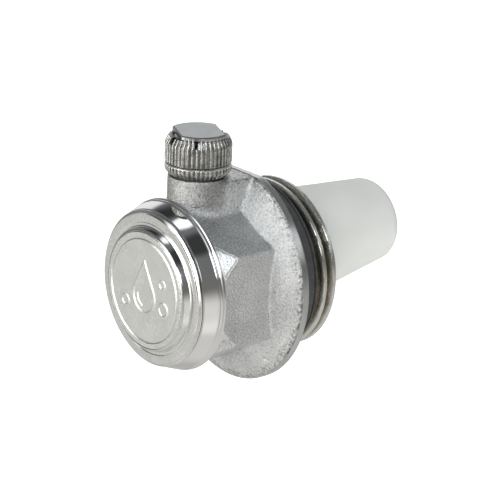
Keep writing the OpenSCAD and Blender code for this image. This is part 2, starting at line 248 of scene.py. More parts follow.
def surface_of(distance, low, high, cell):
    """Points and quads of the surface where distance(x, y, z) is zero, one point in each cell."""
    axes = [np.arange(lo, hi + cell, cell) for lo, hi in zip(low, high)]
    grid = distance(*np.meshgrid(*axes, indexing="ij"))
    inside = grid < 0
    shape = tuple(n - 1 for n in grid.shape)
    total = np.zeros(shape + (3,))
    count = np.zeros(shape)
    crossings = []
    for axis in range(3):
        first = [slice(None)] * 3
        second = [slice(None)] * 3
        first[axis], second[axis] = slice(0, -1), slice(1, None)
        a, b = grid[tuple(first)], grid[tuple(second)]
        crossed = inside[tuple(first)] != inside[tuple(second)]
        spot = np.argwhere(crossed)
        part = a[crossed] / (a[crossed] - b[crossed])
        where = spot.astype(float)
        where[:, axis] += part
        others = [i for i in range(3) if i != axis]
        cells = []
        for step_u, step_v in ((0, 0), (-1, 0), (-1, -1), (0, -1)):
            cell_at = spot.copy()
            cell_at[:, others[0]] += step_u
            cell_at[:, others[1]] += step_v
            cells.append(cell_at)
            np.add.at(total, tuple(cell_at.T), where)
            np.add.at(count, tuple(cell_at.T), 1)
        crossings.append((cells, inside[tuple(first)][crossed], axis))
    index = -np.ones(shape, int)
    used = count > 0
    index[used] = np.arange(used.sum())
    points = total[used] / count[used][:, None] * cell + np.array(low)
    faces = []
    for cells, starts_inside, axis in crossings:
        quads = np.stack([index[tuple(c.T)] for c in cells], -1)
        flip = starts_inside if axis != 1 else ~starts_inside
        quads[flip] = quads[flip][:, ::-1]
        faces.append(quads)
    for _ in range(4):
        value = distance(*points.T)
        step = 1e-3
        slope = np.stack([
            (distance(*(points + step * unit).T) - distance(*(points - step * unit).T)) / (2 * step)
            for unit in np.eye(3)], -1)
        move = value[:, None] * slope / np.maximum((slope ** 2).sum(1), 0.05)[:, None]
        points = points - np.clip(move, -cell / 2, cell / 2)
    return points, np.concatenate(faces).tolist()


# ---------------------------------------------------------------- shader making

class Value:
    """A socket in one material's node tree, with the usual operators."""

    def __init__(self, shop, socket):
        self.shop = shop
        self.socket = socket

    def _join(self, operation, first, second):
        return self.shop.node("ShaderNodeMath", {"operation": operation}, {0: first, 1: second})

    def __add__(self, other):
        return self._join("ADD", self, other)

    def __radd__(self, other):
        return self._join("ADD", other, self)

    def __sub__(self, other):
        return self._join("SUBTRACT", self, other)

    def __rsub__(self, other):
        return self._join("SUBTRACT", other, self)

    def __mul__(self, other):
        return self._join("MULTIPLY", self, other)

    def __rmul__(self, other):
        return self._join("MULTIPLY", other, self)

    def __truediv__(self, other):
        return self._join("DIVIDE", self, other)

    def __rtruediv__(self, other):
        return self._join("DIVIDE", other, self)


class Tree:
    """A node tree, filled by method calls."""

    def node(self, kind, settings=None, inputs=None, out=0):
        """Any node: its settings first, then the values or links of its sockets."""
        made = self.tree.nodes.new(kind)
        for key, value in (settings or {}).items():
            if key == "stops":
                self._set_stops(made.color_ramp, value)
            else:
                setattr(made, key, value)
        for key, value in (inputs or {}).items():
            self._feed(made.inputs[key], value)
        return Value(self, made.outputs[out])

    def _set_stops(self, ramp, stops):
        while len(ramp.elements) > 1:
            ramp.elements.remove(ramp.elements[-1])
        for i, (place, colour) in enumerate(stops):
            stop = ramp.elements[0] if i == 0 else ramp.elements.new(place)
            stop.position = place
            stop.color = (*colour, 1) if isinstance(colour, tuple) else (colour,) * 3 + (1,)

    def _feed(self, socket, value):
        if isinstance(value, Value):
            self.tree.links.new(value.socket, socket)
        elif isinstance(value, tuple) and socket.type == "RGBA" and len(value) == 3:
            socket.default_value = (*value, 1)
        else:
            socket.default_value = value


class Nodes(Tree):
    """A shader's tree, from its shader to its output."""

    def __init__(self, owner, shader, output):
        owner.use_nodes = True
        self.tree = owner.node_tree
        self.tree.nodes.clear()
        self.shader = self.tree.nodes.new(shader)
        end = self.tree.nodes.new(output)
        self.tree.links.new(self.shader.outputs[0], end.inputs["Surface"])

    def set(self, **inputs):
        """Sets or links the shader's own sockets, their names written with _ for each space."""
        for key, value in inputs.items():
            self._feed(self.shader.inputs[key.replace("_", " ")], value)

    def between(self, value, low, high):
        """0 where value is under low, 1 over high, smooth between."""
        return self.node("ShaderNodeMapRange", {"interpolation_type": "SMOOTHSTEP"}, {
            "Value": value, "From Min": low, "From Max": high})


class Shop(Nodes):
    """One material, and the nodes that it is made of."""

    def __init__(self, name):
        self.material = bpy.data.materials.new(name)
        super().__init__(self.material, "ShaderNodeBsdfPrincipled", "ShaderNodeOutputMaterial")

    def place(self, scale=(1, 1, 1), centre=(0, 0, 0)):
        """Object coordinates in millimetres from centre, stretched by scale."""
        coordinates = self.node("ShaderNodeTexCoord", out="Object")
        sizes = tuple(s / MM for s in scale)
        shift = tuple(-c * s for c, s in zip(centre, scale))
        return self.node("ShaderNodeMapping", inputs={
            "Vector": coordinates, "Location": shift, "Scale": sizes})

    def along(self, axis):
        """Distance in millimetres along one axis."""
        return self.node("ShaderNodeSeparateXYZ", inputs={0: self.place()}, out=axis)

    def radius(self, scale, centre=(0, 0, 0)):
        """Distance in millimetres from an axis; scale is 0 along it and 1 across it."""
        return self.node("ShaderNodeVectorMath", {"operation": "LENGTH"}, {
            0: self.place(scale, centre)}, out="Value")

    def noise(self, place, scale, detail=2.0, rough=0.5):
        """Soft noise from 0 to 1, with about one blotch each 1/scale millimetres."""
        return self.node("ShaderNodeTexNoise", inputs={
            "Vector": place, "Scale": scale, "Detail": detail, "Roughness": rough})

    def ramp(self, value, stops):
        """Colours or greys by value."""
        return self.node("ShaderNodeValToRGB", {"stops": stops}, {"Fac": value})

    def mix(self, factor, first, second):
        """A colour between two."""
        return self.node("ShaderNodeMix", {"data_type": "RGBA"}, {
            0: factor, 6: first, 7: second}, out=2)

    def bump(self, height, depth, strength=1.0, after=None):
        """A normal from a height of 0 to 1 that stands for depth millimetres."""
        inputs = {"Height": height, "Distance": depth * MM, "Strength": strength}
        if after is not None:
            inputs["Normal"] = after
        return self.node("ShaderNodeBump", inputs=inputs)


class Growth(Tree):
    """A geometry tree with a named input for each size, whose result becomes a plain mesh."""

    def __init__(self, name, sizes):
        self.tree = bpy.data.node_groups.new(name, "GeometryNodeTree")
        self.sizes = sizes
        self.sockets = {}
        for label, value in sizes.items():
            kind = "NodeSocketInt" if isinstance(value, int) else "NodeSocketFloat"
            socket = self.tree.interface.new_socket(label, in_out="INPUT", socket_type=kind)
            self.sockets[label] = socket.identifier
        self.tree.interface.new_socket("Geometry", in_out="OUTPUT", socket_type="NodeSocketGeometry")
        self.start = self.tree.nodes.new("NodeGroupInput")

    def size(self, label):
        """The socket of a named size."""
        return Value(self, self.start.outputs[label])

    def point(self, x=0.0, y=0.0, z=0.0):
        """A vector from three numbers or sockets."""
        return self.node("ShaderNodeCombineXYZ", inputs={"X": x, "Y": y, "Z": z})

    def joined(self, *parts):
        """Several geometries as one."""
        join = self.tree.nodes.new("GeometryNodeJoinGeometry")
        for part in parts:
            self.tree.links.new(part.socket, join.inputs[0])
        return Value(self, join.outputs[0])

    def grow(self, name, instances, finish, move=(0, 0, 0)):
        """Realizes the instances, lays them in metres and gives them as one plain mesh object."""
        real = self.node("GeometryNodeRealizeInstances", inputs={"Geometry": instances})
        laid = self.node("GeometryNodeTransform", inputs={
            "Geometry": real, "Translation": tuple(m * MM for m in move), "Scale": (MM, MM, MM)})
        smooth = self.node("GeometryNodeSetShadeSmooth", inputs={"Geometry": laid})
        dressed = self.node("GeometryNodeSetMaterial", inputs={"Geometry": smooth})
        dressed.socket.node.inputs["Material"].default_value = FINISHES[finish]
        end = self.tree.nodes.new("NodeGroupOutput")
        self.tree.links.new(dressed.socket, end.inputs["Geometry"])

        host = bpy.data.objects.new(name + "_host", bpy.data.meshes.new(name + "_host"))
        bpy.context.scene.collection.objects.link(host)
        grower = host.modifiers.new("growth", "NODES")
        grower.node_group = self.tree
        for label, value in self.sizes.items():
            grower[self.sockets[label]] = value
        evaluated = host.evaluated_get(bpy.context.evaluated_depsgraph_get())
        mesh = bpy.data.meshes.new_from_object(evaluated)
        mesh.name = name
        host.modifiers.remove(grower)
        bpy.data.objects.remove(host)
        piece = bpy.data.objects.new(name, mesh)
        bpy.context.scene.collection.objects.link(piece)
        return piece


# ---------------------------------------------------------------- finishes

def satin_chrome():
    """Chrome over a blasted forging: sharp bright grain, dark pits and soft clouds, with painted shade
    on the boss's nose.
    """
    shop = Shop("satin_chrome")
    place = shop.place()
    along, up = shop.along("Y"), shop.along("Z")
    main_r = shop.radius((1, 0, 1))
    knob_r = shop.radius((1, 1, 0), (0, KNOB_Y, 0))
    grain = shop.noise(place, 2.6, 3, 0.7)
    pits = shop.noise(place, 1.1, 2, 0.5)
    cloud = shop.noise(place, 0.16, 2, 0.5)
    mottle = grain * 0.75 + cloud * 0.25
    tone = shop.ramp(mottle, [
        (0.34, (0.40, 0.408, 0.418)), (0.46, (0.67, 0.675, 0.678)), (0.56, (0.83, 0.832, 0.825)),
        (0.65, (0.97, 0.97, 0.95))])

    # Coarse dark specks near the flange's edge.
    specks = shop.between(shop.noise(place, 1.5, 3, 0.7), 0.50, 0.58)
    near_rim = shop.between(main_r, FLANGE_R - 1.9, FLANGE_R - 0.5)
    tone = shop.mix(specks * near_rim * 0.8, tone, (0.20, 0.20, 0.19))

    # Painted shade: the boss's nose takes a darker tone.
    nose_painted_shade_tone = shop.ramp(mottle, [
        (0.36, (0.20, 0.20, 0.195)), (0.50, (0.38, 0.38, 0.37)), (0.62, (0.60, 0.60, 0.585))])
    nose = shop.between(up, NOSE_FADE, NOSE_FADE + 3)
    nose = nose * (1 - shop.between(knob_r, BOSS_R + 0.05, BOSS_R + 0.7))

    # Less grain on the hexagon's corner chamfers.
    from_chamfer = main_r - along * CHAMFER_SLOPE - (HEX_CORNER - CHAMFER_SLOPE * HEX_FRONT)
    chamfers = shop.between(from_chamfer, -0.14, -0.05)
    chamfers = chamfers * (1 - shop.between(from_chamfer, 0.1, 0.25))
    chamfers = chamfers * (1 - shop.between(along, HEX_FRONT - 0.5, HEX_FRONT - 0.2))
    height = (grain * 0.75 + pits * 0.25) * (1 - chamfers * 0.6)

    shop.set(
        Base_Color=shop.mix(nose * 0.85, tone, nose_painted_shade_tone), Metallic=1.0,
        Roughness=0.21 + grain * 0.20, Normal=shop.bump(height, 0.34, 0.9))
    return shop.material


def polished_chrome(name="polished_chrome", tint=(0.80, 0.795, 0.78), rough=0.05, swirl=0.5):
    """Bright chrome on a turned face: a faint waviness and a few rubbed patches."""
    shop = Shop(name)
    place = shop.place()
    wave = shop.noise(place, 0.35, 2, 0.5)
    speck = shop.noise(place, 6.0, 2, 0.6)
    rubbed = shop.between(shop.noise(place, 0.22, 3, 0.6), 0.45, 0.75)
    tone = shop.mix(rubbed * 0.35, tint, tuple(c * 0.86 for c in tint))
    height = wave * swirl + speck * 0.05
    shop.set(
        Base_Color=tone, Metallic=1.0, Roughness=rough + rubbed * 0.10 + speck * 0.03,
        Normal=shop.bump(height, 0.05, 0.35))
    return shop.material


def cover_face_chrome():
    """The cover's chrome, with a satin bloom on its flat front."""
    shop = Shop("cover_chrome")
    place = shop.place()
    flat = 1 - shop.between(shop.along("Y"), COVER_LOW[1] + 0.05, COVER_LOW[1] + 0.35)
    grain = shop.noise(place, 2.7, 3, 0.65)
    cloud = shop.noise(place, 0.25, 2, 0.5)
    tone = shop.ramp(cloud * 0.3 + grain * 0.7, [
        (0.35, (0.68, 0.68, 0.66)), (0.65, (0.84, 0.838, 0.82))])
    shop.set(
        Base_Color=tone, Metallic=1.0, Roughness=0.06 + flat * 0.24 + grain * 0.05,
        Normal=shop.bump(grain * flat, 0.11, 0.9))
    return shop.material


def knob_chrome(name, dark, bright):
    """Nickel-toned chrome on the knurled knob, cloudy, with a painted highlight beside the groove and
    painted shade in the air slots.
    """
    shop = Shop(name)
    place = shop.place()
    grain = shop.noise(place, 4.0, 3, 0.6)
    cloud = shop.noise(place, 0.7, 2, 0.6)
    up = shop.along("Z")
    # Painted highlight: a bright band just under the groove.
    band = shop.between(up, GROOVE - 0.4, GROOVE - 0.3) * (
        1 - shop.between(up, GROOVE + 0.1, GROOVE + 0.16))
    # Painted shade: where the air slots cut in towards radius 4.9, the chrome is painted near black.
    slot = 1 - shop.between(shop.radius((1, 1, 0), (0, KNOB_Y, 0)), 5.1, 5.35)
    tone = shop.ramp(cloud * 0.7 + grain * 0.3, [(0.38, dark), (0.62, bright)])
    tone = shop.mix(slot, shop.mix(band, tone, (0.80, 0.80, 0.77)), (0.03, 0.03, 0.03))
    shop.set(
        Base_Color=tone, Metallic=1.0, Roughness=0.17 + grain * 0.16,
        Normal=shop.bump(grain, 0.05, 0.8))
    return shop.material


def plate_chrome():
    """The plate's brushed top."""
    shop = Shop("plate_chrome")
    marks = shop.noise(shop.place((7.0, 0.5, 1.0)), 1.6, 3, 0.6)
    cloud = shop.noise(shop.place(), 0.4, 2, 0.5)
    tone = shop.ramp(cloud * 0.5 + marks * 0.5, [
        (0.35, (0.355, 0.364, 0.37)), (0.65, (0.44, 0.447, 0.45))])
    shop.set(
        Base_Color=tone, Metallic=1.0, Roughness=0.26 + marks * 0.14,
        Normal=shop.bump(marks, 0.015, 0.5))
    return shop.material


def thread_metal():
    """The spigot's thread: silver crests, olive-brown flanks and turning marks."""
    shop = Shop("thread_metal")
    place = shop.place()
    marks = shop.noise(shop.place((0.4, 5.0, 0.4)), 2.0, 3, 0.6)
    stain = shop.noise(place, 0.35, 3, 0.6)
    radius = shop.radius((1, 0, 1))
    crest = shop.between(radius + stain * 0.4, THREAD_R - 0.45, THREAD_R + 0.1)
    flank = shop.ramp(stain * 0.6 + marks * 0.4, [
        (0.30, (0.15, 0.13, 0.09)), (0.50, (0.27, 0.25, 0.19)), (0.72, (0.42, 0.40, 0.34))])
    shop.set(
        Base_Color=shop.mix(crest, flank, (0.72, 0.71, 0.67)), Metallic=1.0,
        Roughness=0.18 + marks * 0.16, Normal=shop.bump(marks, 0.03, 0.8))
    return shop.material


def rubber():
    """Moulded rubber: near black, with a dry bloom and fine moulding grain."""
    shop = Shop("black_rubber")
    place = shop.place()
    bloom = shop.noise(place, 0.6, 3, 0.6)
    grain = shop.noise(place, 9.0, 2, 0.5)
    tone = shop.ramp(bloom * 0.7 + grain * 0.3, [
        (0.35, (0.032, 0.032, 0.034)), (0.70, (0.066, 0.066, 0.069))])
    shop.set(
        Base_Color=tone, Roughness=0.46 + bloom * 0.16, Specular_IOR_Level=0.45,
        Normal=shop.bump(grain, 0.015, 0.6))
    return shop.material


def float_plastic():
    """Moulded polypropylene: milky white, faint flow clouds, a fine satin skin."""
    shop = Shop("white_plastic")
    place = shop.place()
    flow = shop.noise(shop.place((1, 0.6, 1)), 0.14, 2, 0.5)
    skin = shop.noise(place, 7.0, 2, 0.5)
    tone = shop.ramp(flow, [(0.35, (0.625, 0.628, 0.60)), (0.68, (0.668, 0.670, 0.645))])
    shop.set(
        Base_Color=tone, Roughness=0.40 + skin * 0.10, Subsurface_Weight=0.25,
        Subsurface_Radius=(0.9, 0.9, 0.8), Subsurface_Scale=0.0012,
        Normal=shop.bump(skin * 0.7 + flow * 0.3, 0.02, 0.5))
    return shop.material


def turned_brass():
    """Bare brass with turning marks and a little tarnish."""
    shop = Shop("bare_brass")
    place = shop.place()
    marks = shop.noise(shop.place((0.5, 0.5, 8.0)), 1.5, 3, 0.6)
    tarnish = shop.noise(place, 0.8, 3, 0.6)
    tone = shop.ramp(tarnish, [(0.35, (0.52, 0.37, 0.16)), (0.65, (0.74, 0.57, 0.28))])
    shop.set(
        Base_Color=tone, Metallic=1.0, Roughness=0.20 + marks * 0.18,
        Normal=shop.bump(marks, 0.02, 0.6))
    return shop.material


def soft_copper():
    """Dull copper."""
    shop = Shop("copper")
    place = shop.place()
    dull = shop.noise(place, 1.2, 3, 0.6)
    tone = shop.ramp(dull, [(0.35, (0.55, 0.27, 0.15)), (0.65, (0.78, 0.45, 0.30))])
    shop.set(
        Base_Color=tone, Metallic=1.0, Roughness=0.28 + dull * 0.2,
        Normal=shop.bump(dull, 0.02, 0.5))
    return shop.material


def cellulose():
    """Pressed fibre discs: straw-coloured, with short matted fibres."""
    shop = Shop("cellulose")
    fibres = shop.noise(shop.place((6, 1.2, 6)), 1.6, 4, 0.7)
    cross = shop.noise(shop.place((1.2, 6, 6)), 1.6, 4, 0.7)
    tone = shop.ramp(fibres * 0.5 + cross * 0.5, [
        (0.35, (0.60, 0.50, 0.33)), (0.65, (0.84, 0.77, 0.61))])
    shop.set(
        Base_Color=tone, Roughness=0.85,
        Normal=shop.bump(fibres * 0.5 + cross * 0.5, 0.06, 0.9))
    return shop.material


def natural_plastic():
    """Acetal, a little warmer than the float."""
    shop = Shop("natural_plastic")
    place = shop.place()
    flow = shop.noise(place, 0.9, 3, 0.55)
    tone = shop.ramp(flow, [(0.35, (0.72, 0.70, 0.62)), (0.68, (0.82, 0.80, 0.74))])
    shop.set(
        Base_Color=tone, Roughness=0.38 + flow * 0.12, Subsurface_Weight=0.1,
        Subsurface_Scale=0.0008, Normal=shop.bump(flow, 0.02, 0.4))
    return shop.material


def stainless_steel():
    """Rolled and turned stainless steel, with fine marks one way."""
    shop = Shop("stainless_steel")
    place = shop.place()
    marks = shop.noise(shop.place((9.0, 0.6, 0.6)), 2.0, 3, 0.6)
    cloud = shop.noise(place, 0.5, 2, 0.5)
    tone = shop.ramp(cloud * 0.6 + marks * 0.4, [
        (0.35, (0.48, 0.48, 0.49)), (0.65, (0.66, 0.66, 0.67))])
    shop.set(
        Base_Color=tone, Metallic=1.0, Roughness=0.24 + marks * 0.16,
        Normal=shop.bump(marks, 0.015, 0.6))
    return shop.material


FINISHES = {
    "satin": satin_chrome(),
    "polished": polished_chrome(),
    "cover": cover_face_chrome(),
    # Painted shade: the knob's core, in the valleys between and below the ridges, is a darker copy of
    # the ridges' chrome.
    "knob core shaded": knob_chrome("knob_core_shaded", (0.17, 0.168, 0.155), (0.33, 0.325, 0.305)),
    "knob ridges": knob_chrome("knob_ridges", (0.26, 0.257, 0.24), (0.62, 0.62, 0.595)),
    "plate": plate_chrome(),
    "rim": polished_chrome("rim_chrome", (0.60, 0.60, 0.585), 0.2, 1.0),
    "thread": thread_metal(),
    "rubber": rubber(),
    "float": float_plastic(),
    "brass": turned_brass(),
    "copper": soft_copper(),
    "fibre": cellulose(),
    "acetal": natural_plastic(),
    "steel": stainless_steel(),
}


def place_piece(piece, finish, body, nodes):
    """Gives a piece its finish and its body, and hides the CAD nodes that it stands for."""
    if not piece.data.materials:
        piece.data.materials.append(FINISHES[finish])
    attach(piece, body)
    if nodes:
        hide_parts(*nodes)
    return piece


# ---------------------------------------------------------------- the forged body

def forging_distance(x, y, z):
    """Distance to the blasted forging: hexagon, flange and vent boss, hollow inside."""
    r = np.hypot(x, z)
    knob_r = np.hypot(x, y - KNOB_Y)
    hexagon = np.abs(x) - HEX_HALF
    for side in (-1, 1):
        across = np.abs(x * 0.5 + side * z * math.sqrt(3) / 2) - HEX_HALF
        hexagon = soft_max(hexagon, across, 0.45)
    chamfer = (r - HEX_CORNER - CHAMFER_SLOPE * (y - HEX_FRONT)) / math.hypot(1, CHAMFER_SLOPE)
    hexagon = soft_max(hexagon, chamfer, 0.15)
    cone_y = FLANGE_BACK - FLANGE_RIM - FLANGE_SLOPE * (FLANGE_R - r)
    cone = (cone_y - y) / math.hypot(1, FLANGE_SLOPE)
    flange = soft_max(r - (FLANGE_R - 0.12), cone, 0.25)
    boss = np.where(y < KNOB_Y, knob_r, np.abs(x)) - BOSS_R
    boss = soft_max(boss, BOSS_FOOT - z, 0.3)
    dimple = np.sqrt((x - DIMPLE_AT[0]) ** 2 + (y - DIMPLE_AT[1]) ** 2 + (z - DIMPLE_AT[2]) ** 2)
    flange = soft_max(flange, DIMPLE_SIZE - dimple, 0.15)
    solid = soft_min(hexagon, flange, 0.35)
    solid = soft_min(solid, boss, 1.1)
    turn_at = np.arctan2(z, x)
    ragged = sum(np.sin(n * turn_at + n) for n in RAGGED_WAVES) * RAGGED_DEEP
    solid = soft_max(solid, r - (FLANGE_R - 0.3) - ragged, 0.12)
    solid = soft_max(solid, y - (FLANGE_BACK - 0.1), 0.15)
    solid = soft_max(solid, (COLLAR_BACK - 0.06) - y, 0.1)
    solid = soft_max(solid, z - BOSS_TOP, 0.2)
    knob_seat = np.maximum(soft_max(knob_r - BOSS_R, z - SEAT_TOP, 0.15), BOSS_FOOT - z)
    solid = soft_min(solid, knob_seat, 0.12)
    solid = soft_max(solid, CAVITY_R - r, 0.1)
    for bore_r, floor in (
            (SEAT_RECESS_R, BOSS_TOP), (WASHER_RECESS_R, BOSS_TOP - WASHER_RECESS_DEEP),
            (NOZZLE_BORE_R, BOSS_FOOT)):
        solid = soft_max(solid, -np.maximum(knob_r - bore_r, floor - z), 0.1)
    return solid


def forging():
    """The blasted forging as one closed mesh."""
    reach = FLANGE_R + 0.7
    points, faces = surface_of(
        forging_distance,
        (-reach, COLLAR_BACK - 1.4, -reach), (reach, FLANGE_BACK + 0.9, reach), FORGING_CELL)
    piece = finish_mesh("forged_body", points, faces, 60)
    return place_piece(piece, "satin", "valve_body", ["body"])


def under_flat(r, h, a):
    """Keeps a turned edge just over the flat that is ground across the flange's top."""
    rise = np.maximum(np.sin(a), 1e-3)
    return np.minimum(r, (BOSS_TOP + 0.03) / rise), h


def flange_rim():
    """The turned band round the flange, and the flange's turned back."""
    front = FLANGE_BACK - FLANGE_RIM
    outline = rounded([
        (19.2, front + 0.3), (20.8, front + 0.26, 0.05), (20.95, front + 0.07, 0.03),
        (FLANGE_R, front + 0.05, 0), (FLANGE_R, FLANGE_BACK, 0.2),
        (SEAL_R + 0.05, FLANGE_BACK, 0.08), (SEAL_R + 0.05, FLANGE_BACK - 0.4, 0.05),
        (NECK_R, FLANGE_BACK - 0.4), (NECK_R, FLANGE_BACK - 1.0), (19.2, FLANGE_BACK - 1.0)])
    points, faces = turn(divided(outline, 0.5), 320, under_flat)
    piece = finish_mesh("flange_rim", on_main_axis(points), faces)
    return place_piece(piece, "rim", "valve_body", ["body"])


def thread_relief(r, h, a):
    """Cuts the right-hand pipe thread into the outside of the spigot, with a neck before it."""
    outside = r > THREAD_R - 0.9
    phase = h / THREAD_PITCH + a / (2 * math.pi) + 0.15
    climb = np.abs(phase - np.floor(phase) - 0.5) * 2
    rise = np.clip((climb - 0.04) / 0.66, 0, 1)
    neck = np.clip((0.4 - h) / 0.3, 0, 1)
    cut = np.where(outside, THREAD_DEEP * np.maximum(1 - rise, neck), 0)
    return np.maximum(r - cut, np.minimum(r, THREAD_R - THREAD_DEEP)), h


def threaded_spigot():
    """The spigot with its helical G1 thread, chamfered at its end, bored right through."""
    steps = np.arange(-0.2, THREAD_END - 0.55, 0.09)
    outside = [(THREAD_R, h) for h in steps]
    chamfer = [(THREAD_R - t, THREAD_END - 0.5 + t * 0.45) for t in (0.0, 0.25, 0.5, 0.75, 1.0)]
    inside = rounded([
        (THREAD_R - 1.25, THREAD_END, 0.08), (SPIGOT_BORE_R, THREAD_END, 0.15),
        (SPIGOT_BORE_R, FLANGE_BACK - 1.2), (NECK_R, FLANGE_BACK - 1.2), (NECK_R, -0.35),
        (THREAD_R - 0.6, -0.3)])[1:]
    points, faces = turn(outside + chamfer + inside, 360, thread_relief)
    piece = finish_mesh("threaded_spigot", on_main_axis(points), faces, 50)
    return place_piece(piece, "thread", "valve_body", ["body"])


def collar():
    """The polished collar in front of the hexagon: a cone, a fine bead and a last straight band."""
    front = COVER_SEAT + 0.15
    outline = rounded([
        (COVER_R - 0.1, front, 0.05), (COVER_R + 0.12, front + 0.2, 0.1),
        (COLLAR_R - 0.42, COLLAR_BACK - 1.55, 0.08), (COLLAR_R - 0.58, COLLAR_BACK - 1.42, 0.04),
        (COLLAR_R - 0.50, COLLAR_BACK - 1.28, 0.04), (COLLAR_R - 0.28, COLLAR_BACK - 1.12, 0.1),
        (COLLAR_R - 0.24, COLLAR_BACK - 0.92, 0.08), (COLLAR_R - 0.38, COLLAR_BACK - 0.78, 0.04),
        (COLLAR_R - 0.30, COLLAR_BACK - 0.66, 0.04), (COLLAR_R - 0.04, COLLAR_BACK - 0.5, 0.15),
        (COLLAR_R, COLLAR_BACK - 0.06, 0.15), (15.6, COLLAR_BACK - 0.02, 0.05),
        (14.4, COLLAR_BACK + 0.6), (CAVITY_R, COLLAR_BACK + 0.6), (CAVITY_R, COLLAR_BACK + 0.4),
        (MOUTH_R, COLLAR_BACK - 0.1), (MOUTH_R, front, 0.2)], 0.08, 4)
    points, faces = turn(outline, 320)
    piece = finish_mesh("front_collar", on_main_axis(points), faces)
    return place_piece(piece, "polished", "valve_body", ["body"])


# ---------------------------------------------------------------- the front cover

def ridge(distance, half, height):
    """A rounded ridge where distance is near zero."""
    t = np.clip(1 - np.abs(distance) / half, 0, 1)
    return height * t * t * (3 - 2 * t)


def drop_distance(x, z, size):
    """Distance to the outline of a water drop with its point upwards."""
    centre, tip = -0.28 * size, size
    belly = 0.62 * size
    lean = belly / (tip - centre)
    shoulder = centre + belly * lean
    round_part = np.hypot(x, z - centre) - belly
    point = np.abs(x) * math.sqrt(1 - lean ** 2) + (z - tip) * lean
    return np.where(z > shoulder, point, round_part)


def front_cover():
    """The screwed cover: rim, raised disc with its relief, and the threaded skirt behind."""
    front = COVER_LOW[1] + 0.16
    skirt_r = MOUTH_R - 0.05
    skirt_end = COLLAR_BACK - 0.2
    shell = rounded([
        (DISC_R - 0.55, front), (DISC_R - 0.08, front + 0.32, 0.3),
        (DISC_R + 0.22, COVER_FRONT - 0.25, 0.1), (DISC_R + 0.36, COVER_FRONT + 0.12, 0.08),
        (DISC_R + 0.80, COVER_FRONT + 0.14, 0.08), (DISC_R + 1.0, COVER_FRONT + 0.03, 0.08),
        (DISC_R + 1.75, COVER_FRONT, 0.6), (COVER_R - 0.62, COVER_FRONT + 0.03, 0.08),
        (COVER_R - 0.55, COVER_FRONT + 0.24, 0.05), (COVER_R - 0.05, COVER_FRONT + 0.5, 0.15),
        (COVER_R, COVER_SEAT - 0.08, 0.05), (COVER_R - 0.12, COVER_SEAT, 0.04),
        (skirt_r - 0.85, COVER_SEAT, 0.06), (skirt_r - 0.85, COVER_SEAT + 1.1, 0.06)], 0.1, 5)
    threads = [(skirt_r, h) for h in np.arange(COVER_SEAT + 1.15, skirt_end - 0.15, 0.08)]
    inside = rounded([
        (skirt_r - 0.45, skirt_end, 0.05), (11.8, skirt_end, 0.1), (11.6, COVER_FRONT + 1.2, 0.3),
        (10.8, COVER_FRONT + 0.6, 0.3), (0, COVER_FRONT + 0.6)], 0.1)
    face = [(float(r), front) for r in np.arange(0, DISC_R - 0.62, 0.1)]

    def relief(r, h, a):
        phase = h / COVER_PITCH + a / (2 * math.pi)
        wave = 0.5 + 0.5 * np.cos(2 * math.pi * phase)
        on_thread = (h > COVER_SEAT + 1.12) & (r > skirt_r - 0.05)
        r = np.where(on_thread, r - COVER_THREAD_DEEP * wave, r)
        x, z = r * np.cos(a), r * np.sin(a)
        return r, np.where(h == front, h - cover_lift(x, z, r), h)

    points, faces = turn(face + shell + threads + inside, 360, relief)
    piece = finish_mesh("screwed_cover", on_main_axis(points), faces, 45)
    return place_piece(piece, "cover", "cover", ["front_cover"])


def cover_lift(x, z, r):
    """Height of the cover's relief: a ring, a water drop with its glint, and three bubbles."""
    lift = -ridge(r - RELIEF_RING_R, 0.3, 0.13)
    lift = lift + ridge(drop_distance(x, z - 0.3, 5.2), 0.34, 0.15)
    for bubble_x, bubble_z, size in ((-5.6, -3.4, 1.0), (5.4, 2.6, 0.8), (5.9, -2.2, 1.25)):
        lift = lift + ridge(np.hypot(x - bubble_x, z - bubble_z) - size, 0.26, 0.12)
    turn_at = np.degrees(np.arctan2(z + 1.15, x)) % 360
    near = np.clip(1 - (np.abs(turn_at - 215) - 35) / 12, 0, 1)
    return lift + ridge(np.hypot(x, z + 1.15) - 2.0, 0.3, 0.11) * near


# ---------------------------------------------------------------- seals

def rubber_ring(name, outline, across, body, node, around=256):
    """A turned rubber piece; across lays its points on an axis."""
    points, faces = turn(outline, around)
    piece = finish_mesh(name, across(points), faces, 50)
    return place_piece(piece, "rubber", body, [node])


def port_seal():
    """The sealing ring behind the flange: a step at its front and two fine grooves round it."""
    low, high = FLANGE_BACK - 0.38, -0.3
    outline = rounded([
        (NECK_R + 0.02, low), (SEAL_R, low), (SEAL_R, FLANGE_BACK + 0.02),
        (SEAL_R - 0.5, FLANGE_BACK + 0.12, 0.05), (SEAL_R - 0.5, FLANGE_BACK + 0.6, 0.05),
        (SEAL_R - 0.02, FLANGE_BACK + 0.85, 0.15),
        (SEAL_R, FLANGE_BACK + 2.2, 0.1), (SEAL_R - 0.55, FLANGE_BACK + 2.35, 0.03),
        (SEAL_R - 0.55, FLANGE_BACK + 2.6, 0.03), (SEAL_R, FLANGE_BACK + 2.75, 0.1),
        (SEAL_R, high - 0.95, 0.1), (SEAL_R - 0.6, high - 0.85, 0.03),
        (SEAL_R - 0.6, high - 0.6, 0.03), (SEAL_R - 0.05, high - 0.5, 0.08),
        (SEAL_R - 0.05, high - 0.2, 0.1),
        (SEAL_R - 0.25, high, 0.12), (NECK_R + 0.02, high)], 0.06, 4)
    return rubber_ring("port_sealing_ring", outline, on_main_axis, "valve_body", "port_seal", 320)


def o_ring(name, middle_r, wire, height, across, body, node):
    """A round-section ring."""
    outline = [
        (middle_r + wire * math.cos(a), height + wire * math.sin(a))
        for a in np.linspace(0, 2 * math.pi, 20, endpoint=False)]
    return rubber_ring(name, outline, across, body, node)


# ---------------------------------------------------------------- the vent knob

KNURLS = 44
VALLEY = 0.3
